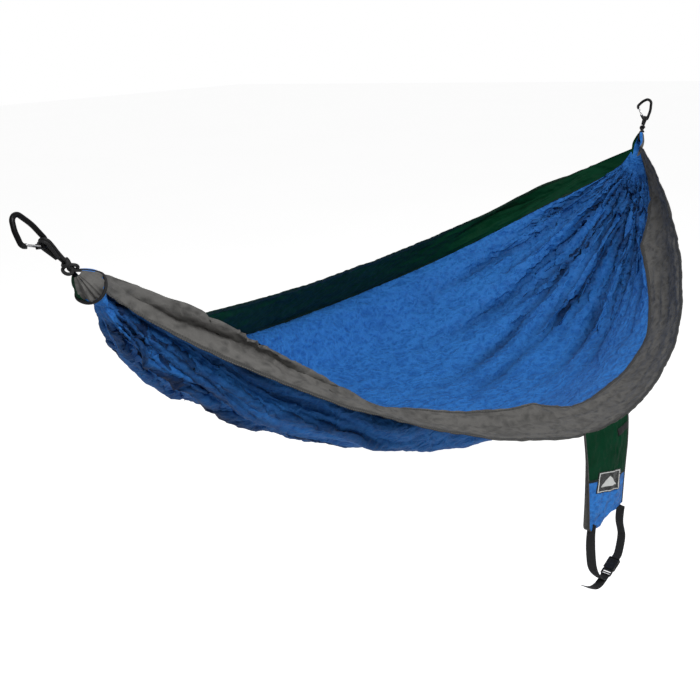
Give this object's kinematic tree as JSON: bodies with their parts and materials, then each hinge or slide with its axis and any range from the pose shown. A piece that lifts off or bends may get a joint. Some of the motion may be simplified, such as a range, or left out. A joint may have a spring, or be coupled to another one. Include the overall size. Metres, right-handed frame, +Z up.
{
  "type": "camping hammock",
  "caption": "Gathered-end cloth camping hammock hung between carabiners, with contrasting edge panels and a storage sack with a buckled strap on one edge.",
  "frame": {"origin": "where the foot anchor bears inside the foot carabiner", "axes": "+X towards the head end, +Z up, the storage sack hangs on the -Y edge"},
  "size_m": [2.496, 1.0319, 1.046],
  "materials": {
    "blue_cloth": "matte",
    "green_cloth": "matte",
    "grey_cloth": "matte",
    "cord": "matte",
    "webbing": "matte",
    "label": "satin",
    "black_plastic": "satin",
    "black_metal": "satin",
    "wire": "polished"
  },
  "bodies": {
    "hammock": {"centre_panel": "blue_cloth", "far_trim_panel": "green_cloth", "foot_cord_eye": "cord", "foot_cord_knot": "cord", "foot_end_channel": "blue_cloth", "foot_gather_cord": "cord", "head_cord_eye": "cord", "head_cord_knot": "cord", "head_end_channel": "blue_cloth", "head_gather_cord": "cord", "near_trim_panel": "grey_cloth"},
    "foot_carabiner": {"foot_carabiner": "black_metal"},
    "head_carabiner": {"head_carabiner": "black_metal"},
    "foot_gate": {"foot_wire_gate": "wire"},
    "head_gate": {"head_wire_gate": "wire"},
    "sack": {"sack_back": "grey_cloth", "sack_front_upper": "green_cloth", "sack_front_lower": "blue_cloth", "sack_patch": "label", "sack_tag": "label", "fixed_web": "webbing", "buckle_socket": "black_plastic"},
    "buckle_plug": {"buckle_plug": "black_plastic", "adjustable_web": "webbing", "strap_tail": "webbing"},
    "outer_prong": {"buckle_prong_outer": "black_plastic"},
    "inner_prong": {"buckle_prong_inner": "black_plastic"}
  },
  "joints": [
    {"name": "foot_carabiner_swing", "type": "hinge", "parent": "hammock", "child": "foot_carabiner", "pos_m": [0.04351, 0, -0.04936], "axis": [0.7049, 0.342, 0.6214], "range_deg": [-40, 40]},
    {"name": "foot_gate_hinge", "type": "hinge", "parent": "foot_carabiner", "child": "foot_gate", "pos_m": [0.02888, -0.00415, -0.05], "axis": [-0.2566, 0.9397, -0.2262], "range_deg": [0, 28], "stiffness_Nm_per_rad": 0.05, "springref_deg": -5.73},
    {"name": "head_carabiner_swing", "type": "hinge", "parent": "hammock", "child": "head_carabiner", "pos_m": [2.43744, 0, -0.06631], "axis": [0.4864, -0.8192, -0.3039], "range_deg": [-40, 40]},
    {"name": "head_gate_hinge", "type": "hinge", "parent": "head_carabiner", "child": "head_gate", "pos_m": [2.43642, 0.00994, -0.05482], "axis": [0.6947, 0.5736, -0.4341], "range_deg": [0, 28], "stiffness_Nm_per_rad": 0.05, "springref_deg": -5.73},
    {"name": "sack_swing", "type": "hinge", "parent": "hammock", "child": "sack", "pos_m": [1.13458, -0.47299, -0.64378], "axis": [0.9925, -0.1219, 0], "range_deg": [-70, 45]},
    {"name": "buckle_release", "type": "slide", "parent": "sack", "child": "buckle_plug", "axis": [-0.8764, 0.1076, -0.4695], "range_m": [0, 0.024]},
    {"name": "outer_prong_squeeze", "type": "hinge", "parent": "buckle_plug", "child": "outer_prong", "pos_m": [1.15646, -0.48485, -1.01718], "axis": [-0.466, 0.0572, 0.8829], "range_deg": [0, 7], "stiffness_Nm_per_rad": 0.02},
    {"name": "inner_prong_squeeze", "type": "hinge", "parent": "buckle_plug", "child": "inner_prong", "pos_m": [1.15867, -0.46678, -1.01718], "axis": [-0.466, 0.0572, 0.8829], "range_deg": [-7, 0], "stiffness_Nm_per_rad": 0.02}
  ],
  "couplings": [
    {"joint": "inner_prong_squeeze", "follows": "outer_prong_squeeze", "ratio": -1}
  ]
}
